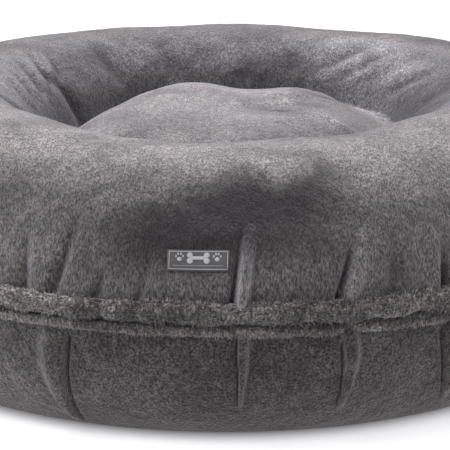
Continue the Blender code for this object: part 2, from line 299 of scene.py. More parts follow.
# Creases above the seam: line, depth, width and lip
GATHERS = [
    (((-16.8, 46), (-19.4, 6)), 0.0058, 0.0052, -0.8),
    (((-23.6, 44), (-22.6, 6)), 0.0042, 0.0056, 0.8),
    (((2.0, 44), (0.6, 6)), 0.0105, 0.0036, 1.8),
    (((3.6, 36), (2.6, 6)), 0.0030, 0.0036, -0.9),
    (((15.3, 40), (11.8, 6)), 0.0105, 0.0046, 1.0),
    (((20.2, 46), (18.0, 6)), 0.0034, 0.0075, 0.7),
    (((25.4, 30), (24.6, 6)), 0.0090, 0.0040, -0.9),
    (((-8.0, 26), (-9.8, 6)), 0.0036, 0.0050, 0.6),
    (((-13.0, 24), (-14.4, 6)), 0.0030, 0.0046, -0.6),
    (((8.0, 24), (7.0, 6)), 0.0030, 0.0050, 0.6),
]
# Creases down the inner wall
TUCKS = [
    (((-118, 116), (-121, 164)), 0.0075, 0.0100, 0.7),
    (((-140, 88), (-144, 148)), 0.0034, 0.0120, -0.8),
    (((-130, 98), (-121, 138)), 0.0036, 0.0048, 0.8),
    (((-124, 97), (-114, 142)), 0.0042, 0.0048, 0.8),
    (((-118, 98), (-106, 146)), 0.0042, 0.0050, 0.8),
    (((-111, 100), (-99, 148)), 0.0036, 0.0050, 0.8),
    (((-104, 104), (-93, 146)), 0.0030, 0.0050, 0.8),
    (((-160, 104), (-164, 146)), 0.0024, 0.0130, 0.7),
    (((130, 93), (152, 142)), 0.0032, 0.0110, -0.9),
    (((121, 98), (142, 146)), 0.0024, 0.0085, -0.9),
    (((110, 94), (132, 150)), 0.0020, 0.0120, -0.8),
    (((100, 102), (118, 150)), 0.0016, 0.0080, -0.8),
    (((158, 104), (160, 146)), 0.0030, 0.0130, 0.7),
    (((171, 112), (174, 150)), 0.0028, 0.0110, 0.7),
    (((88, 108), (96, 148)), 0.0016, 0.0090, 0.8),
    (((66, 104), (63, 150)), 0.0044, 0.0080, 0.8),
    (((38, 110), (42, 150)), 0.0034, 0.0080, -0.8),
    (((8, 110), (5, 150)), 0.0040, 0.0080, 0.8),
    (((-24, 106), (-20, 150)), 0.0040, 0.0090, -0.8),
    (((-55, 108), (-59, 150)), 0.0044, 0.0080, 0.8),
    (((-80, 104), (-84, 150)), 0.0040, 0.0080, -0.8),
]


# Small folds on the right of the centre cushion: depth, lean, y and width, x and length
PILLOW_FOLDS = [
    (0.0046, 0.30, 0.075, 0.011, 0.085, 0.035),
    (-0.0034, -0.25, 0.035, 0.009, 0.130, 0.034),
    (0.0050, -0.10, -0.005, 0.010, 0.080, 0.030),
    (-0.0030, 0.20, -0.020, 0.009, 0.060, 0.034),
    (0.0042, 0.55, 0.010, 0.010, 0.125, 0.030),
]


def side_gathers():
    """The gathers on the stretches away from the label, spread unevenly."""
    chance = np.random.default_rng(11)
    found = []
    angle = 33.0
    while angle < 325:
        top = chance.uniform(14, 38)
        lean = chance.uniform(-2.0, 2.0)
        depth = chance.uniform(0.003, 0.0085)
        lip = chance.choice([-1, 1]) * chance.uniform(0.6, 1.3)
        found.append((((angle + lean, top), (angle, 6)), depth, chance.uniform(0.0050, 0.0070), lip))
        angle += chance.uniform(5.5, 12)
    return found


def top_skin():
    """The plush from over the flap to the middle of the centre cushion, and the light and shade painted on
    its folds.
    """
    angle = column_angles(COLUMNS)
    lip = math.degrees(math.asin((FLAP_TOP - SEAM - 0.001) / RISE))
    turn = np.radians(np.linspace(lip, VALLEY_TURN, 86))[:, None]
    radius = RING + HALF * np.cos(turn) + 0 * angle
    height = ring_height(turn, angle)
    slope = 1 / (math.tan(math.radians(VALLEY_TURN)) * -HALF / RISE)
    share = np.linspace(1, 0, 32)[1:-1, None] ** 0.55
    inner = radius[-1:] * share
    down = height[-1:] - slope * (radius[-1:] - inner)
    degrees = np.concatenate([np.degrees(turn) + 0 * angle, VALLEY_TURN + 30 * (1 - share) + 0 * angle])
    radius = np.concatenate([radius, inner])
    height = np.concatenate([height, down])
    full = angle + 0 * radius
    pillow = pillow_height(full, radius)
    inside = step(degrees, 95, 110)
    wall = height  # before the centre cushion is blended in
    height = height * (1 - inside) + soft_max(height, pillow, valley_blend(full)) * inside
    points = around(radius, full, height)
    bolster = 1 - step(degrees, 140, 160)
    rough = lumps(points, (0.0030, 0.15, 1), (0.0016, 0.06, 2), (0.0005, 0.018, 3), (0.00035, 0.008, 4))
    change = rough * (0.4 + 0.6 * bolster)
    folds = 0 * full
    for line, depth, width, side in GATHERS + side_gathers():
        folds += groove(full, degrees, radius, line, depth, width, side, (True, False))
    for line, depth, width, side in TUCKS:
        folds += groove(full, degrees, radius, line, depth, width, side)
    above = np.exp(-np.clip(height - FLAP_TOP, 0, 1) / 0.016) * (degrees < 60)
    ripple = noise(around(0.5, full, 0.03 * degrees / 90), 0.013, 5)
    change += 0.0011 * ripple * above
    change -= 0.0040 * bell_at(full, 3, 10) * wave(degrees, 48, 12)
    change += 0.0020 * bell_at(full, -16, 8) * wave(degrees, 40, 16)
    x, y = points[..., 0], points[..., 1]
    fold = 0 * full
    for depth, lean, y_middle, width, x_middle, length in PILLOW_FOLDS:
        fold = fold + depth * wave(y + lean * x, y_middle, width) * wave(x, x_middle, length)
    spokes = noise(around(0.30, full, 0.4 * radius), 0.042, 6)
    fold += 0.0022 * spokes * step(radius, 0.09, 0.15)
    folds += fold * (degrees > VALLEY_TURN)
    # painted shade in the crease round the centre, darkest at the left and faintest at the right
    deep = 0.62 + 0.38 * bell_at(full, -120, 60) - 0.30 * bell_at(full, 115, 35)
    valley = wave(wall, pillow, 0.024) * step(degrees, 125, 140) * deep
    flat = label_mask(points)
    change = (change + folds) * (1 - flat) - 0.0006 * flat
    # painted shade in the creases and painted highlight on their lips, with the painted shade round the
    # centre
    painted_shading = folds / 0.0062 * (1 - flat) - 1.0 * valley
    return points + normals_of(points) * change[..., None], painted_shading


def make_top():
    skin, painted_shading = top_skin()
    coarse = skin[::6]
    under = coarse - normals_of(coarse) * CLOTH
    middle = np.array([0, 0, skin[-1, :, 2].mean()])
    rows = np.concatenate([skin[::-1], under])
    piece = globe("plush_top", rows[:, ::-1], middle, middle - np.array([0, 0, CLOTH]))
    # the painted shading of the folds, and none underneath
    mark_painted_shading(piece, np.concatenate([painted_shading[::-1, ::-1].ravel(), np.zeros(under[..., 0].size + 2)]))
    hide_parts("upper_cover", "centre_panel")
    return dress(piece, PLUSH)


# The side under the seam

# Pleats: angle at the seam, angle at the foot, bulge on the way, depth, width, bright side, and the height
# where the pleat ends
PLEATS = [
    (-18.5, -18.7, -0.9, 0.0085, 0.026, -1, 0.012),
    (1.8, 1.6, 0.1, 0.0070, 0.010, 1, 0.048),
    (13.1, 13.2, 0.6, 0.0085, 0.015, 1, 0.044),
    (25.6, 27.0, 0.0, 0.0075, 0.020, 1, 0.036),
]


def side_pleats():
    """The pleats on the stretches away from the front, spread unevenly."""
    chance = np.random.default_rng(23)
    found = []
    angle = 36.0
    while angle < 326:
        bright = chance.choice([-1, 1])
        lean, bulge = chance.uniform(-1.5, 1.5), chance.uniform(-0.8, 0.8)
        sizes = chance.uniform(0.005, 0.0085), chance.uniform(0.010, 0.024)
        found.append((angle, angle + lean, bulge, *sizes, bright, chance.uniform(0.012, 0.055)))
        angle += chance.uniform(9, 18)
    return found


def pleat(angle, height, at_seam, at_foot, bulge, depth, width, bright, foot):
    """A folded band: it rises slowly from its bright side and drops into a dark line at the other. It also
    gives a painted highlight on the bright side and painted shade in the dark line.
    """
    share = np.clip((SEAM - height) / (SEAM - foot), 0, 1.3)
    path = at_seam + (at_foot - at_seam) * share + bulge * np.sin(math.pi * np.clip(share, 0, 1))
    narrow = width * (1 - 0.55 * step(share, 0.25, 1.0))
    across = np.radians(round_trip(angle, path)) * OUTER * bright / narrow
    strength = (0.6 + 0.4 * step(share, 0, 0.25)) * (1 - step(share, 0.80, 1.12))
    stands = (1 - step(across, 0.10, 0.85)) * step(across, -0.56, -0.34)
    dark = wave(across, -0.55, 0.12)
    # painted highlight on the bright side, painted shade in the dark line
    edge = 0.75 * wave(across, 0.46, 0.14) - 0.9 * dark
    return depth * strength * (stands - 0.50 * dark), strength * edge


def side_skin():
    """The plush from under the welt down to the floor, as a grid of points, and the light and shade painted
    on its folds and under the welt.
    """
    angle = column_angles(1200)
    lip = SEAM - WELT_LOW + 0.0008
    first = math.degrees(math.asin((lip - 0.004) / SEAM))
    turn = np.radians(np.linspace(first, 90, 56))[:, None]
    overhang = OUTER - BASE_RADIUS
    radius = BASE_RADIUS + overhang * np.cos(turn) + 0 * angle
    height = SEAM * (1 - np.sin(turn)) + 0 * angle
    height = height + seam_shift(angle) * (height / SEAM) ** 2
    full = angle + 0 * radius
    points = around(radius, full, height)
    change = lumps(points, (0.0024, 0.13, 31), (0.0012, 0.05, 32), (0.0006, 0.016, 33), (0.00035, 0.007, 34))
    painted_shading = 0 * full
    for sizes in PLEATS + side_pleats():
        raised, edge = pleat(full, height, *sizes)
        change = change + raised
        painted_shading = painted_shading + edge
    # painted shade just under the welt
    painted_shading = painted_shading - 0.55 * np.exp(-np.clip(WELT_LOW - height, 0, 1) / 0.006)
    ripple = noise(around(0.5, full, 0.2 * height), 0.014, 35)
    change += 0.0012 * ripple * np.exp(-np.clip(WELT_LOW - height, 0, 1) / 0.018)
    change *= step(height, 0.000, 0.018)
    # rows run downwards, so these normals point inwards
    points = points - normals_of(points) * change[..., None]
    points[..., 2] = np.maximum(points[..., 2], 0.0006 * (height > 0.0004))
    return points, painted_shading


def make_side():
    skin, painted_shading = side_skin()
    angle = column_angles(skin.shape[1])
    hem = around(BASE_EDGE + 0.0012, angle, 0.0)
    roll = hem + np.array([0, 0, 0.0055])
    coarse = skin[::-1][2::9]
    under = coarse + normals_of(coarse[::-1])[::-1] * CLOTH
    under = under[under[:, 0, 2] > 0.008]
    rows = np.concatenate([skin, hem, roll, under])
    # painted shade and highlight for the side's folds; none on its hem and backing
    tones = np.zeros(rows.shape[:2])
    tones[: len(painted_shading)] = painted_shading
    piece = tube("plush_side", rows[::-1])
    mark_painted_shading(piece, tones[::-1].ravel())
    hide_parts("lower_cover")
    return dress(piece, PLUSH_SIDE_SHADED)


# Flap and welt

TUFT_THICK = 0.00062
TUFT_ROOT = 0.0004  # how deep a tuft starts under the plush


def tufts(points, outer, count, length, seed):
    """Thin spikes of pile over the outer part of a grid, leaning in drifts along the fold.

    Gives their points, their faces, and painted shading: a painted highlight at the tips and painted shade at
    the roots, varied at random from tuft to tuft.
    """
    chance = np.random.default_rng(seed)
    columns = points.shape[1]
    normal = normals_of(points.transpose(1, 0, 2)).transpose(1, 0, 2)
    allowed = np.argwhere((outer[:-1] > 0.25) | (outer[:-1] > 0) & (normal[:-1, :, 2] > 0.3))
    pick = allowed[chance.integers(0, len(allowed), count)]
    row, column = pick[:, 0], pick[:, 1]
    beside = (column + 1) % columns
    along, across = chance.uniform(0, 1, (2, count, 1))
    start = points[row, column] * (1 - along) + points[row + 1, column] * along
    start = start * (1 - across) + 0.5 * across * (points[row, beside] + points[row + 1, beside])
    out = normal[row, column]
    level = np.stack([-start[:, 1], start[:, 0], 0 * start[:, 0]], axis=-1)
    level = level / np.linalg.norm(level, axis=-1, keepdims=True)
    drift = 2.2 * noise(start, 0.035, seed + 1)[:, None] + 0.4 * chance.normal(size=(count, 1))
    rise = 0.25 * chance.normal(size=(count, 1)) + 0.7 * noise(start, 0.03, seed + 2)[:, None]
    way = out * 0.65 + level * drift + np.array([0, 0, 1]) * rise
    way = way / np.linalg.norm(way, axis=-1, keepdims=True)
    reach = length * chance.uniform(0.55, 1.0, (count, 1))
    side = np.cross(way, chance.normal(size=(count, 3)))
    side = side / np.linalg.norm(side, axis=-1, keepdims=True)
    other = np.cross(way, side)
    spikes = [start + way * reach]
    for turn in (0, 2 * math.pi / 3, 4 * math.pi / 3):
        spikes.append(start - out * TUFT_ROOT + TUFT_THICK * (side * math.cos(turn) + other * math.sin(turn)))
    spots = np.stack(spikes, axis=1).reshape(-1, 3)
    # painted highlight at the tips and painted shade at the roots, varied at random
    bright = 0.45 + 0.75 * chance.normal(size=count)
    painted_shading = np.stack([bright, bright - 0.7, bright - 0.7, bright - 0.7], axis=1).ravel()
    first = 4 * np.arange(count)[:, None]
    faces = [first + np.array(corners) for corners in ((0, 1, 2), (0, 2, 3), (0, 3, 1), (1, 3, 2))]
    return spots, np.concatenate(faces).tolist(), painted_shading


def furred(piece, points, outer, count, length, seed):
    """The piece with its pile added to its own mesh, with painted shade between the tufts and a painted
    highlight at their tips.
    """
    body = np.empty(len(piece.data.vertices) * 3)
    piece.data.vertices.foreach_get("co", body)
    faces = [tuple(face.vertices) for face in piece.data.polygons]
    spots, sides, painted_shading = tufts(points, outer, count, length, seed)
    start = len(body) // 3
    faces += [tuple(start + i for i in side) for side in sides]
    name = piece.name
    bpy.data.objects.remove(piece)
    piece = mesh_of(name, np.concatenate([body.reshape(-1, 3), spots]), faces)
    # painted shade over the plush between the tufts
    mark_painted_shading(piece, np.concatenate([np.full(start, -0.35), painted_shading]))
    return piece


NOTCHES = [(-18.1, 0.9), (-13.6, 1.0), (-9.6, 1.3), (8.2, 0.5), (21.5, 0.7), (-30.5, 0.8), (36.0, 0.9)]


def notch_depth(angle):
    """Where the fold is pinched: over its seams and stitches."""
    depth = 0 * angle
    for middle, strength in NOTCHES:
        depth = depth + strength * bell_at(angle, middle, 0.55)
    chance = np.random.default_rng(41)
    for middle in np.arange(45, 318, 11):
        at = middle + chance.uniform(-4, 4)
        depth = depth + chance.uniform(0.4, 1.0) * bell_at(angle, at, 0.6)
    return depth


def flap_section():
    """The folded flap's section as (radius, height): over the top, down its outer side, back up inside."""
    inner = FLAP_OUT - FLAP_THICK
    root = TAPE_OUT + 0.003
    foot = low("zip_flap").z + 0.0022
    tall = FLAP_TOP - foot
    outline = [
        (root, FLAP_TOP - 0.004),
        (root, FLAP_TOP),
        (inner - 0.001, FLAP_TOP + 0.0012),
        (inner + 0.0022, FLAP_TOP + 0.0016),
        (inner + 0.0056, FLAP_TOP + 0.0002),
        (inner + 0.0090, foot + 0.80 * tall),
        (inner + 0.0102, foot + 0.56 * tall),
        (inner + 0.0092, foot + 0.30 * tall),
        (inner + 0.0066, foot + 0.10 * tall),
        (inner + 0.0034, foot + 0.0002),
        (inner + 0.0010, foot + 0.0012),
        (inner + 0.0001, foot + 0.0060),
        (inner, FLAP_TOP - 0.0050),
        (inner - 0.0010, FLAP_TOP - 0.0040),
    ]
    return smoothed(np.array(outline), 24)


def smoothed(outline, count):
    """A closed outline with even points and soft corners."""
    closed = np.concatenate([outline, outline[:1]])
    length = np.concatenate([[0], np.cumsum(np.linalg.norm(np.diff(closed, axis=0), axis=1))])
    even = np.linspace(0, length[-1], count, endpoint=False)
    return np.stack([np.interp(even, length, closed[:, i]) for i in range(2)], axis=-1)


def make_flap():
    window = math.degrees(math.asin(min(1, gap_half_width() / FLAP_OUT)))
    angle = np.linspace(-180 + window, 180 - window, 1300)[:, None]
    section = flap_section()
    radius = section[None, :, 0] + 0 * angle
    height = section[None, :, 1] + 0 * angle
    outer = step(radius, FLAP_OUT - FLAP_THICK + 0.0002, FLAP_OUT - FLAP_THICK + 0.0050)
    pinch = notch_depth(angle)
    spot = around(radius, angle, height)
    lump = lumps(spot, (0.0018, 0.022, 51), (0.0019, 0.0090, 52), (0.0006, 0.004, 53))
    radius = radius + outer * (lump - 0.0036 * pinch)
    middle = (FLAP_TOP + SEAM) / 2
    height = height + outer * (middle - height) * 0.16 * pinch
    height = height + seam_shift(angle) * outer + outer * 0.0017 * noise(spot, 0.014, 54)
    points = around(radius, angle, height)
    # the tufts take the section the other way round, so that they point outwards
    piece = furred(bar("flap_plush", points), points[:, ::-1], outer[:, ::-1], 33000, 0.0066, 55)
    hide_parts("zip_flap")
    return dress(piece, PLUSH_EDGE_LIT)


def gap_half_width():
    """Half the width of the flap's window at the back, from where the CAD flap ends."""
    found = [v.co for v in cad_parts["zip_flap"].data.vertices]
    return min(abs(v.x) for v in found if v.y > 0.4 and math.hypot(v.x, v.y) > FLAP_OUT - 0.002)


def make_welt():
    angle = round_trip(np.arange(1560) * 360 / 1560, 0)[None, :]
    turns = np.linspace(0, 2 * math.pi, 14, endpoint=False)[:, None]
    top = high("lower_welt").z + 0.0004
    foot = WELT_LOW - 0.0030
    middle = (top + foot) / 2
    tall = (top - foot) / 2
    inner = TAPE_OUT + 0.0015
    wide = (WELT_OUT + 0.0010 - inner) / 2
    thin = 1 - 0.35 * step(angle, 8, 24) * (1 - step(angle, 34, 60))
    radius = inner + wide * (1 + np.cos(turns)) - wide * 0.5 * (1 - thin)
    height = middle + tall * np.sin(turns) * (1 + 0 * angle)
    outer = step(radius, WELT_OUT - 0.006, WELT_OUT - 0.002)
    spot = around(radius, angle, height)
    lump = lumps(spot, (0.0016, 0.018, 61), (0.0016, 0.008, 62))
    radius = radius + outer * (lump - 0.0016 * notch_depth(angle + 1.3))
    height = height + seam_shift(angle) * outer
    points = around(radius, angle, height)
    turned = points.transpose(1, 0, 2)
    piece = furred(tube("welt_plush", points), turned, outer.T, 34000, 0.0045, 65)
    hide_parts("lower_welt")
    return dress(piece, PLUSH_EDGE_LIT)


# Zip teeth

TOOTH_PITCH = 0.0024
CAD_SKIN = 0.0001  # how far the teeth stay inside the CAD coil


def tooth_cord(inner, outer, root, shoulder, window, upper):
    """Points and faces of the cord that a row of teeth stands on, round all but the zip's ends."""
    angle = np.linspace(-180 + window, 180 - window, 720)[:, None]
    outline = np.array([(inner, root), (inner, shoulder), (outer, shoulder), (outer, root)])
    outline = outline[::-1] if upper else outline
    cord = around(outline[:, 0], angle, outline[:, 1])
    return cord.reshape(-1, 3), bar_faces(len(angle), len(outline))


def tooth_blocks(inner, outer, shoulder, tip, window, upper):
    """Points and faces of a row of tapered teeth. The upper row stands half a pitch along."""
    pitch = math.degrees(TOOTH_PITCH / outer)
    middles = np.arange(-180 + window + pitch, 180 - window - pitch, pitch)
    middles = middles + (0.5 * pitch if upper else 0)
    corners = []
    for level, wide in ((shoulder, 0.30), (tip, 0.22)):
        for radius, way in ((inner, -1), (outer, -1), (outer, 1), (inner, 1)):
            corners.append(around(radius, middles + way * wide * pitch, level))
    first = 8 * np.arange(len(middles))[:, None]
    sides = [(0, 1, 2, 3), (4, 7, 6, 5), (0, 4, 5, 1), (1, 5, 6, 2), (2, 6, 7, 3), (3, 7, 4, 0)]
    if not upper:
        sides = [face[::-1] for face in sides]
    faces = np.concatenate([first + np.array(face) for face in sides])
    return np.stack(corners, axis=1).reshape(-1, 3), faces.tolist()


def make_teeth():
    """Rows of small nylon teeth, each standing from a cord that is sewn to its tape."""
    for row in ("upper", "lower"):
        node, upper = f"zip_coil_{row}", row == "upper"
        found = [v.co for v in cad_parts[node].data.vertices]
        reach = [math.hypot(v.x, v.y) for v in found]
        inner, outer = min(reach) + 2 * CAD_SKIN, max(reach) - 2 * CAD_SKIN
        window = min(math.degrees(math.atan2(abs(v.x), v.y)) for v in found if v.y > 0) + 0.1
        bottom, top = low(node).z + CAD_SKIN, high(node).z - CAD_SKIN
        root, tip = (top, bottom) if upper else (bottom, top)
        tall = tip - root
        cord = tooth_cord(inner, outer - 0.0004, root, root + tall * 0.38, window, upper)
        blocks = tooth_blocks(inner + 0.0002, outer, root + tall * 0.28, tip, window, upper)
        piece = gathered(f"zip_teeth_{row}", [cord, blocks])
        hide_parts(node)
        dress(piece, TEETH)


# Label

LABEL_MIDDLE = (low("front_label") + high("front_label")) / 2
LABEL_ANGLE = math.degrees(math.atan2(LABEL_MIDDLE.x, -LABEL_MIDDLE.y))
LABEL_TURN = math.asin((LABEL_MIDDLE.z - SEAM) / float(rise_at(np.array(LABEL_ANGLE))))
LABEL_HALF = high("front_label").x - LABEL_MIDDLE.x
LABEL_TALL = 0.010
LABEL_THICK = 0.0012
STITCH_ROOT = 0.0003  # how deep the stitches start in the label


def label_spot(along, up, out):
    """A point on the label's curved face: along it, up it, and out from the plush."""
    rise = rise_at(np.array(LABEL_ANGLE))
    pace = math.hypot(HALF * math.sin(LABEL_TURN), rise * math.cos(LABEL_TURN))
    turn = LABEL_TURN + up / pace
    normal = np.stack([np.cos(turn) / HALF, np.sin(turn) / rise], axis=-1)
    normal = normal / np.linalg.norm(normal, axis=-1, keepdims=True)
    radius = RING + HALF * np.cos(turn)
    angle = LABEL_ANGLE + np.degrees(along / radius)
    return around(radius + out * normal[..., 0], angle, ring_height(turn, angle) + out * normal[..., 1])


def label_mask(points):
    """1 under the label, where its stitches press the plush flat, and 0 beyond it."""
    across = np.abs(points[..., 0] - LABEL_MIDDLE.x)
    tall = np.abs(points[..., 2] - LABEL_MIDDLE.z)
    front = points[..., 1] < 0
    beyond = step(across, LABEL_HALF - 0.001, LABEL_HALF + 0.004), step(tall, LABEL_TALL, LABEL_TALL + 0.004)
    return front * (1 - beyond[0]) * (1 - beyond[1])


def slab(along, up, foot, top):
    """Points and faces of a low closed slab over an outline on the label, its top a little smaller."""
    count = len(along)
    middle = along.mean(), up.mean()
    inner = [(x - m) * 0.86 + m for x, m in zip((along, up), middle)]
    rows = [label_spot(along, up, level) for level in (foot, foot + 0.6 * (top - foot))]
    rows.append(label_spot(*inner, top))
    centre = label_spot(np.array([middle[0]]), np.array([middle[1]]), np.array([top]))
    faces = [tuple(face) for face in ring_faces(3, count, False).tolist()]
    faces += [(2 * count + i, 2 * count + (i + 1) % count, 3 * count) for i in range(count)]
    faces.append(tuple(reversed(range(count))))
    return np.concatenate([*rows, centre]), faces


def dot(along, up, wide, tall, count=14):
    """A small rounded patch of stitches."""
    turn = np.arange(count) * 2 * math.pi / count
    foot, top = LABEL_THICK - STITCH_ROOT, LABEL_THICK + 0.0009
    return slab(along + wide * np.cos(turn), up + tall * np.sin(turn), foot, top)


def line(start, end, thick):
    """A thin stitched line between two points on the label."""
    (x0, x1), (z0, z1) = sorted((start[0], end[0])), sorted((start[1], end[1]))
    if abs(x1 - x0) > abs(z1 - z0):
        share = np.linspace(x0, x1, 12)
        along = np.concatenate([share, share[::-1]])
        up = np.concatenate([0 * share + z0 - thick, 0 * share + z0 + thick])
    else:
        along = np.array([x0 - thick, x0 + thick, x0 + thick, x0 - thick])
        up = np.array([z0, z0, z1, z1])
    return slab_strip(along, up)


def slab_strip(along, up):
    """A closed strip of even height over an outline on the label."""
    count = len(along)
    rows = [label_spot(along, up, LABEL_THICK + out) for out in (-STITCH_ROOT, 0.0007)]
    faces = [tuple(face) for face in ring_faces(2, count, False).tolist()]
    half = count // 2
    for base, flip in ((0, True), (count, False)):
        for i in range(half - 1):
            quad = (base + i, base + i + 1, base + count - 2 - i, base + count - 1 - i)
            faces.append(quad[::-1] if flip else quad)
    return np.concatenate(rows), faces


def paw(along, up, size):
    toes = [(-0.62, 0.30), (-0.24, 0.72), (0.24, 0.72), (0.62, 0.30)]
    return [dot(along, up - 0.22 * size, 0.46 * size, 0.38 * size)] + [
        dot(along + x * size, up + z * size, 0.18 * size, 0.24 * size) for x, z in toes
    ]


def bone(along, up, size):
    ends = [(-1, 0.34), (-1, -0.34), (1, 0.34), (1, -0.34)]
    shaft = np.linspace(-1, 1, 8) * size
    half = 0.20 * size + 0 * shaft
    outline = np.concatenate([shaft, shaft[::-1]]), np.concatenate([-half, half])
    return [dot(along + x * size, up + z * size, 0.36 * size, 0.34 * size) for x, z in ends] + [
        slab_strip(along + outline[0], up + outline[1])
    ]


def gathered(name, parts):
    """One object from several closed shapes."""
    points, faces, start = [], [], 0
    for spots, sides in parts:
        points.append(spots)
        faces += [tuple(start + i for i in side) for side in sides]
        start += len(spots)
    return mesh_of(name, np.concatenate(points), faces)


def make_label():
    """A woven label with a border, and a generic bone between paws with a row of stitches below."""
    across = np.linspace(-LABEL_HALF, LABEL_HALF, 40)[None, :]
    up = np.linspace(-LABEL_TALL, LABEL_TALL, 14)[:, None]
    grid_x, grid_z = across + 0 * up, up + 0 * across
    edge = np.maximum(np.abs(grid_x) - (LABEL_HALF - 0.0008), np.abs(grid_z) - (LABEL_TALL - 0.0008))
    puff = LABEL_THICK - 0.0006 * np.clip(edge / 0.0008, 0, 1) + 0.0003
    top = label_spot(grid_x, grid_z, puff)
    back = label_spot(grid_x, grid_z, -0.0008)
    rows, columns = grid_x.shape
    first = np.arange(rows * columns).reshape(rows, columns)
    faces = []
    for offset, flip in ((0, False), (rows * columns, True)):
        for i in range(rows - 1):
            for j in range(columns - 1):
                quad = (first[i, j], first[i, j + 1], first[i + 1, j + 1], first[i + 1, j])
                faces.append(tuple(int(k) + offset for k in (quad[::-1] if flip else quad)))
    rim = [*first[0, :-1], *first[:-1, -1], *first[-1, :0:-1], *first[:0:-1, 0]]
    for i, start in enumerate(rim):
        end = rim[(i + 1) % len(rim)]
        faces.append(tuple(int(k) for k in (end, start, start + rows * columns, end + rows * columns)))
    plate = mesh_of("woven_label", np.concatenate([top.reshape(-1, 3), back.reshape(-1, 3)]), faces)
    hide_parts("front_label")
    dress(plate, LABEL)
    wide, tall, thick = LABEL_HALF - 0.0020, LABEL_TALL - 0.0018, 0.00032
    corners = [(-wide, -tall), (wide, -tall), (wide, tall), (-wide, tall)]
    parts = [line(start, end, thick) for start, end in zip(corners, corners[1:] + corners[:1])]
    parts += bone(0.0, 0.0022, 0.0078)
    for side in (-1, 1):
        parts += paw(side * 0.0175, 0.0022, 0.0052)
    for x in np.arange(-0.0225, 0.0226, 0.0018):
        parts.append(dot(x, -0.0050, 0.00062, 0.00040, 8))
    dress(gathered("label_stitching", parts), THREAD)


# Inner cushions

def full(x):
    """The height of a full cushion's skin, as a share of its middle's, at a share of its radius."""
    return (1 - np.clip(x, 0, 1) ** 3) ** (1 / 3)


def bolster_ring(inset, columns=240, steps=40):
    """The ring cushion inside the bolster, with its equator seam, a given depth under the casing's face."""
    angle = round_trip(np.arange(columns) * 360 / columns, 0)[None, :]
    turn = np.linspace(0, 2 * math.pi, steps, endpoint=False)[:, None]
    inner = low("bolster_liner_top").x * -1
    outer = high("bolster_liner_top").x
    hole = VALLEY_RADIUS - 0.002
    half = (inner - hole) / 2 - 0.002 - inset
    middle = (outer + hole) / 2 - 0.001
    up = np.sin(turn)
    tall = np.where(up > 0, rise_at(angle) - 0.019 - inset, SEAM - 0.012 - inset)
    seam = 0.0012 * wave(up, 0, 0.06) - 0.0012 * wave(up, 0.11, 0.06) - 0.0012 * wave(up, -0.11, 0.06)
    radius = middle + (half + seam) * np.cos(turn) + 0 * angle
    points = around(radius, angle, SEAM + tall * up)
    return points + normals_of(points) * (0.0020 * noise(points, 0.05, 71) - 0.001)[..., None] * -1


def centre_cushion(inset, columns=160):
    """The centre cushion's grid of points from its top middle, round its edge, to its underside."""
    angle = round_trip(np.arange(columns) * 360 / columns, 0)[None, :]
    edge = high("pad_liner_top").x - 0.004 - inset
    share = np.sin(np.linspace(0.04, math.pi / 2, 26))[:, None]
    floor_face = high("base_panel").z + 0.004 + inset
    radius = edge * share + 0 * angle
    top = pillow_height(angle, np.minimum(radius, 0.17)) - 0.019 - inset
    middle = (floor_face + PAD_TOP) / 2 - 0.006
    over = around(radius, angle, middle + (top - middle) * full(share))
    under = around(radius, angle, middle + (floor_face - middle) * full(share))
    return np.concatenate([over, under[::-1][1:]])


def make_cushions():
    casing = tube("bolster_casing", bolster_ring(0.0))
    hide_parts("bolster_liner_top", "bolster_liner_bottom")
    filling = tube("bolster_fibre", bolster_ring(0.003))
    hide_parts("bolster_filling")
    pieces = [(casing, COTTON, "liner"), (filling, FIBRE, "filling")]
    for name, inset, nodes, finish, slot in (
        ("centre_casing", 0.0, ("pad_liner_top", "pad_liner_bottom"), COTTON, "liner"),
        ("centre_fibre", 0.003, ("pad_filling",), FIBRE, "filling"),
    ):
        points = centre_cushion(inset)[::-1]
        middles = points[0].mean(axis=0), points[-1].mean(axis=0)
        piece = globe(name, points, *middles)
        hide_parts(*nodes)
        pieces.append((piece, finish, slot))
    for piece, finish, slot in pieces:
        dress(piece, finish)


# Finishes

class Socket:
    """An output in a material's node tree, with arithmetic."""

    def __init__(self, finish, socket):
        self.finish = finish
        self.socket = socket

    def maths(self, operation, *values):
        return self.finish.node("ShaderNodeMath", {"operation": operation}, self, *values)

    def __add__(self, other):
        return self.maths("ADD", other)

    def __sub__(self, other):
        return self.maths("SUBTRACT", other)

    def __mul__(self, other):
        return self.maths("MULTIPLY", other)

    def __rsub__(self, other):
        return self.finish.node("ShaderNodeMath", {"operation": "SUBTRACT"}, other, self)

    __radd__ = __add__
    __rmul__ = __mul__


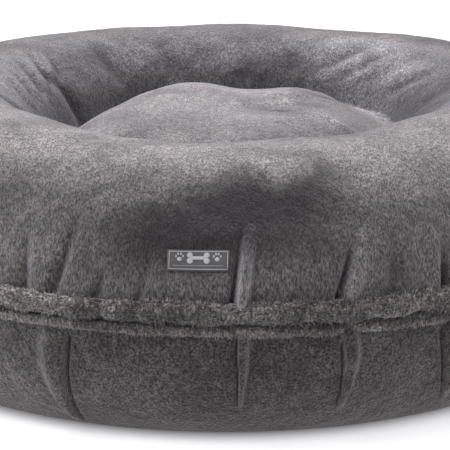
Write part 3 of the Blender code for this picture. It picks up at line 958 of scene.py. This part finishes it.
class Finish:
    """A material under construction."""

    def __init__(self, name):
        self.material = bpy.data.materials.new(name)
        self.material.use_nodes = True
        self.tree = self.material.node_tree
        self.shader = self.tree.nodes["Principled BSDF"]

    def node(self, kind, settings, *values, output=0, **named):
        made = self.tree.nodes.new(kind)
        for key, value in settings.items():
            setattr(made, key, value)
        for place, value in [*enumerate(values), *named.items()]:
            self.put(made.inputs[place], value)
        return Socket(self, made.outputs[output])

    def put(self, place, value):
        if isinstance(value, Socket):
            self.tree.links.new(value.socket, place)
        elif value is not None:
            place.default_value = value

    def place(self, stretch=(1, 1, 1)):
        """Positions on the object, squeezed by axis."""
        where = self.node("ShaderNodeTexCoord", {}, output="Object")
        return self.node("ShaderNodeVectorMath", {"operation": "MULTIPLY"}, where, stretch)

    def axes(self, where):
        """The three coordinates of a position or a direction."""
        split = self.node("ShaderNodeSeparateXYZ", {}, where)
        return [Socket(self, output) for output in split.socket.node.outputs]

    def noise(self, where, size, detail=2.0, rough=0.5, warp=0.0):
        values = {"Vector": where, "Scale": 1 / size, "Detail": detail, "Roughness": rough}
        return self.node("ShaderNodeTexNoise", {}, Distortion=warp, **values)

    def ramp(self, value, first, last, low_value=0.0, high_value=1.0):
        settings = {"interpolation_type": "SMOOTHSTEP"}
        return self.node("ShaderNodeMapRange", settings, value, first, last, low_value, high_value)

    def mix(self, share, one, other):
        others = [None] * 5  # the node's sockets for numbers and vectors
        return self.node("ShaderNodeMix", {"data_type": "RGBA"}, share, *others, one, other, output=2)

    def scaled(self, colour, amount):
        """A colour made lighter or darker."""
        return self.node("ShaderNodeVectorMath", {"operation": "SCALE"}, colour, Scale=amount)

    def bump(self, height, depth, strength=1.0):
        return self.node("ShaderNodeBump", {}, Height=height, Distance=depth, Strength=strength)

    def done(self, **inputs):
        for name, value in inputs.items():
            self.put(self.shader.inputs[name.replace("_", " ")], value)
        return self.material


def nap_of(finish):
    """Broad patches where the pile has been pressed one way or the other."""
    return finish.noise(finish.place(), 0.055, 2.0, 0.5, 0.5)


def painted_light_top(finish, shade, colour):
    """Painted light and shade on the top's plush by place, and a painted bluish shade in the hollow."""
    x, y, z = finish.axes(finish.place())
    front = finish.ramp(y, -0.25, -0.36)
    # painted shade: a dark patch over the label, below the crest
    level = z - x * 0.16 + nap_of(finish) * 0.02 + 0.015
    painted_dark_patch = finish.ramp((x - 0.01).maths("ABSOLUTE"), 0.05, 0.18, 1.0, 0.0)
    painted_dark_patch = painted_dark_patch * finish.ramp(level, 0.195, 0.245) * front
    painted_dark_patch = painted_dark_patch * finish.ramp(level, 0.262, 0.290, 1.0, 0.0)
    shade = shade * (1 - painted_dark_patch * 0.86)
    # painted shade under the crest at the left
    left = finish.ramp(x, -0.02, 0.10, 1.0, 0.0) * finish.ramp(z, 0.200, 0.235) * front
    shade = shade * (1 - left * finish.ramp(z + x * 0.02, 0.256, 0.269, 1.0, 0.0) * 0.34)
    # painted light: the centre cushion lighter than the walls, most of all towards the back, and painted
    # shade on the back wall
    reach = finish.node("ShaderNodeVectorMath", {"operation": "LENGTH"}, finish.place((1, 1, 0)), output=1)
    inside = finish.ramp(reach, 0.19, 0.23, 1.0, 0.0)
    back = finish.ramp(y, 0.0, 0.25)
    shade = shade * (1 + inside * (back * 0.60 + 0.16)) * (1 - back * (1 - inside) * 0.27)
    # painted shade in the front corners of the hollow
    near = finish.ramp(y, -0.20, -0.15) * finish.ramp(y, -0.125, -0.07, 1.0, 0.0)
    shade = shade * (1 - near * finish.ramp(x.maths("ABSOLUTE"), 0.10, 0.22, 1.0, 0.0) * 0.34)
    # painted light on the wall at the back right, which faces the light, and painted shade on the right of
    # the centre cushion
    wall = finish.ramp(x, 0.09, 0.17) * finish.ramp(y, 0.04, 0.14)
    wall = wall * finish.ramp(reach, 0.37, 0.31, 0.0, 1.0)
    shade = shade * (1 + wall * (1 - inside) * 0.78) * (1 - inside * finish.ramp(x, 0.04, 0.12) * 0.24)
    # painted shade on the rim at the right, and a little on the right of the front
    rim = finish.ramp(x, 0.20, 0.28) * finish.ramp(y, -0.10, 0.02)
    right = finish.ramp(x, 0.05, 0.20) * finish.ramp(y, -0.30, -0.36)
    shade = shade * (1 - rim * 0.40) * (1 - right * 0.05)
    # a painted bluish shade on the walls of the hollow
    hollow = finish.ramp(reach, 0.345, 0.30) * (1 - inside * 0.75)
    painted_cool_shade = (colour[0] * 0.96, colour[1] * 1.0, colour[2] * 1.10, 1.0)
    return shade, finish.mix(hollow, (*colour, 1.0), painted_cool_shade)


def painted_light_side(finish, shade, colour):
    """Painted light and shade on the side's plush: painted shade at the foot, and painted light towards the
    left and right.
    """
    x, _, z = finish.axes(finish.place())
    shade = shade * finish.ramp(z, 0.0, 0.06, 0.72, 1.0) * finish.ramp(x, -0.26, -0.10, 1.54, 0.84)
    return shade * finish.ramp(x, 0.06, 0.26, 1.0, 1.48), colour


def plush(name, colour, paint_by_place, contrast=1.0, grain=0.0014, lift=3.7, light_from=0.58, lie=(1, 0.5, 0.36)):
    """Short dense plush: fine fibres that lie down the sides, broad pressed patches, and light and shade
    painted by place.

    Cloth that faces up from light_from on is painted up to lift times lighter, as painted light, except deep
    in a fold.
    """
    finish = Finish(name)
    fibres = finish.noise(finish.place(lie), grain, 3.0, 0.66, 0.3)
    clumps = finish.noise(finish.place((1, 1, 0.6)), 0.006, 2.0, 0.5, 0.6)
    shade = finish.ramp(fibres, 0.36, 0.66, 1 - 0.66 * contrast, 1 + 0.80 * contrast)
    shade = shade * finish.ramp(clumps, 0.30, 0.70, 1 - 0.24 * contrast, 1 + 0.24 * contrast)
    shade = shade * finish.ramp(nap_of(finish), 0.30, 0.70, 0.74, 1.26)
    shade, colour = paint_by_place(finish, shade, colour)
    # painted shade deep in folds and round tuft roots, painted highlight on fold edges and tuft tips
    fold = finish.node("ShaderNodeAttribute", {"attribute_name": "fold"}, output="Fac")
    shade = shade * finish.ramp(fold, -1.1, 0.0, 0.42, 1.0) * finish.ramp(fold, 0.0, 0.9, 1.0, 1.45)
    # painted light on cloth that faces up
    upwards = finish.axes(finish.node("ShaderNodeNewGeometry", {}, output="Normal"))[2]
    open_cloth = finish.ramp(fold, -0.7, -0.1)
    shade = shade * (1 + finish.ramp(upwards, light_from, 1.0, 0.0, lift - 1.0) * open_cloth)
    top = paint_by_place is painted_light_top
    return finish.done(
        Base_Color=finish.scaled(colour, shade),
        Roughness=1.0,
        Sheen_Weight=0.6 if top else 0.35,
        Sheen_Roughness=0.5,
        Sheen_Tint=(0.94, 0.91, 1.0, 1.0) if top else (1.0, 0.95, 0.96, 1.0),
        Specular_IOR_Level=0.1,
        Normal=finish.bump(fibres * 0.8 + clumps * 0.9, 0.0022, 0.9),
    )


PLUSH = plush("grey plush", (0.091, 0.083, 0.083), painted_light_top)
# the same grey plush, painted darker as shade for the side under the seam
PLUSH_SIDE_SHADED = plush(
    "grey plush, side, painted darker", (0.052, 0.047, 0.047), painted_light_side, contrast=1.25, grain=0.0018, lie=(0.9, 0.9, 0.7)
)
# the same grey plush, painted lighter as light for the folded flap and welt
PLUSH_EDGE_LIT = plush(
    "grey plush, folded edge, painted lighter",
    (0.176, 0.160, 0.159),
    painted_light_side,
    contrast=0.95,
    grain=0.0018,
    lift=2.0,
    light_from=0.0,
)


def woven(name, colour, pitch, roughness=0.85):
    """A plain weave: threads over and under along the two directions of the cloth."""
    finish = Finish(name)
    x, y, z = finish.axes(finish.place())
    across = (x + y).maths("MULTIPLY", 2 * math.pi / pitch).maths("SINE")
    along = z.maths("MULTIPLY", 2 * math.pi / pitch).maths("SINE")
    threads = across * along
    wear = finish.noise(finish.place(), 0.03, 3.0)
    shade = finish.ramp(threads, -1.0, 1.0, 0.82, 1.15) * finish.ramp(wear, 0.3, 0.7, 0.92, 1.08)
    return finish.done(
        Base_Color=finish.scaled(colour, shade),
        Roughness=roughness,
        Normal=finish.bump(threads, 0.0003, 0.7),
    )


def dull_metal(name, colour):
    """Rubbed metal or moulded nylon with fine scratches."""
    finish = Finish(name)
    wear = finish.noise(finish.place(), 0.004, 3.0)
    scratches = finish.noise(finish.place((1, 1, 0.1)), 0.0006, 2.0)
    return finish.done(
        Base_Color=finish.scaled(colour, finish.ramp(wear, 0.3, 0.7, 0.85, 1.1)),
        Roughness=finish.ramp(scratches, 0.3, 0.7, 0.26, 0.44),
        Metallic=1.0,
        Normal=finish.bump(scratches, 0.00005, 0.5),
    )


def grip_cloth(name, colour):
    """Non-slip cloth: a dark weave with small raised rubber dots in rows."""
    finish = Finish(name)
    values = {"Vector": finish.place(), "Scale": 150.0, "Randomness": 0.0}
    dots = finish.node("ShaderNodeTexVoronoi", {"feature": "F1"}, **values)
    raised = finish.ramp(dots, 0.30, 0.20)
    weave = finish.noise(finish.place(), 0.0012, 2.0)
    shade = finish.ramp(weave, 0.3, 0.7, 0.85, 1.2) * (1 - raised * 0.35)
    return finish.done(
        Base_Color=finish.scaled(colour, shade),
        Roughness=finish.ramp(raised, 0.0, 1.0, 0.9, 0.45),
        Normal=finish.bump(raised, 0.0008, 0.8),
    )


LABEL = woven("label weave", (0.100, 0.098, 0.103), 0.0011, 0.7)
THREAD = woven("label thread", (0.52, 0.51, 0.53), 0.0009, 0.6)
TAPE = woven("zip tape", (0.085, 0.083, 0.086), 0.0012)
COTTON = woven("cotton casing", (0.72, 0.70, 0.66), 0.0014, 0.9)
FIBRE = plush("fibre filling", (0.80, 0.80, 0.79), painted_light_side, contrast=0.3, grain=0.006)
TEETH = dull_metal("zip coil", (0.10, 0.10, 0.105))
METAL = dull_metal("dark nickel", (0.20, 0.195, 0.19))
GRIP = grip_cloth("non-slip underside", (0.045, 0.045, 0.048))

make_top()
make_side()
make_flap()
make_welt()
make_teeth()
make_cushions()
make_label()

for finish, nodes in (
    (GRIP, ["base_panel"]),
    (METAL, ["zip_slider", "zip_pull", "zip_top_stop", "zip_bottom_stop"]),
    (TAPE, ["zip_tape_upper", "zip_tape_lower"]),
    (PLUSH_EDGE_LIT, ["back_seam_strip"]),
):
    for node in nodes:
        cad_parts[node].data.materials.clear()
        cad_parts[node].data.materials.append(finish)


# Studio

def studio():
    """A pale floor that glows, darker close round the bed as a painted contact shadow, two soft lights and a
    pale world.
    """
    size = 14.0
    floor = mesh_of(
        "floor",
        np.array([[-size, -size, 0], [size, -size, 0], [size, size, 0], [-size, size, 0]], float),
        [(0, 1, 2, 3)],
    )
    finish = Finish("white floor")
    grain = finish.noise(finish.place(), 0.4, 2.0)
    reach = finish.node("ShaderNodeVectorMath", {"operation": "LENGTH"}, finish.place(), output=1)
    # the floor's glow, with a painted shadow close round the bed and a little dimmer further out
    lit = finish.ramp(reach, BASE_RADIUS - 0.004, BASE_RADIUS + 0.040, 0.02, 0.66)
    lit = lit - finish.ramp(reach, 0.50, 0.75) * 0.10
    glow = finish.scaled((0.97, 0.97, 1.0), lit)
    floor.data.materials.append(
        finish.done(
            Base_Color=finish.scaled((0.90, 0.90, 0.905), finish.ramp(grain, 0.3, 0.7, 0.99, 1.0)),
            Roughness=0.9,
            Emission_Color=glow,
            Emission_Strength=1.0,
        )
    )
    for name, spot, aim, across, along, power, colour in (
        ("overhead", (-1.1, -0.75, 2.6), (-0.2, -0.3, 0), 2.4, 2.0, 60.0, (1.0, 0.985, 0.985)),
        ("backdrop", (0.0, 3.6, 2.2), (0, 3.4, 0), 4.0, 1.5, 30.0, (1.0, 1.0, 1.0)),
    ):
        light = bpy.data.lights.new(name, "AREA")
        light.shape = "RECTANGLE"
        light.size = across
        light.size_y = along
        light.energy = power
        light.color = colour
        made = bpy.data.objects.new(name, light)
        made.location = spot
        bpy.context.scene.collection.objects.link(made)
        towards = np.array(aim) - np.array(spot)
        flat = math.hypot(towards[0], towards[1])
        made.rotation_euler = (math.atan2(flat, -towards[2]), 0, math.atan2(-towards[0], towards[1]))
    world = bpy.data.worlds.new("studio")
    world.use_nodes = True
    back = world.node_tree.nodes["Background"]
    back.inputs["Color"].default_value = (1.0, 1.0, 1.0, 1.0)
    back.inputs["Strength"].default_value = 0.42
    bpy.context.scene.world = world
    bpy.context.scene.view_settings.view_transform = "Standard"


def camera():
    lens = bpy.data.cameras.new("camera")
    lens.lens = 119.0
    lens.shift_y = -0.0053
    made = bpy.data.objects.new("camera", lens)
    made.location = (-0.0007, -1.7996, 0.6154)
    made.rotation_euler = (math.pi / 2 - 0.2845, 0, 0)
    bpy.context.scene.collection.objects.link(made)
    bpy.context.scene.camera = made


studio()
camera()
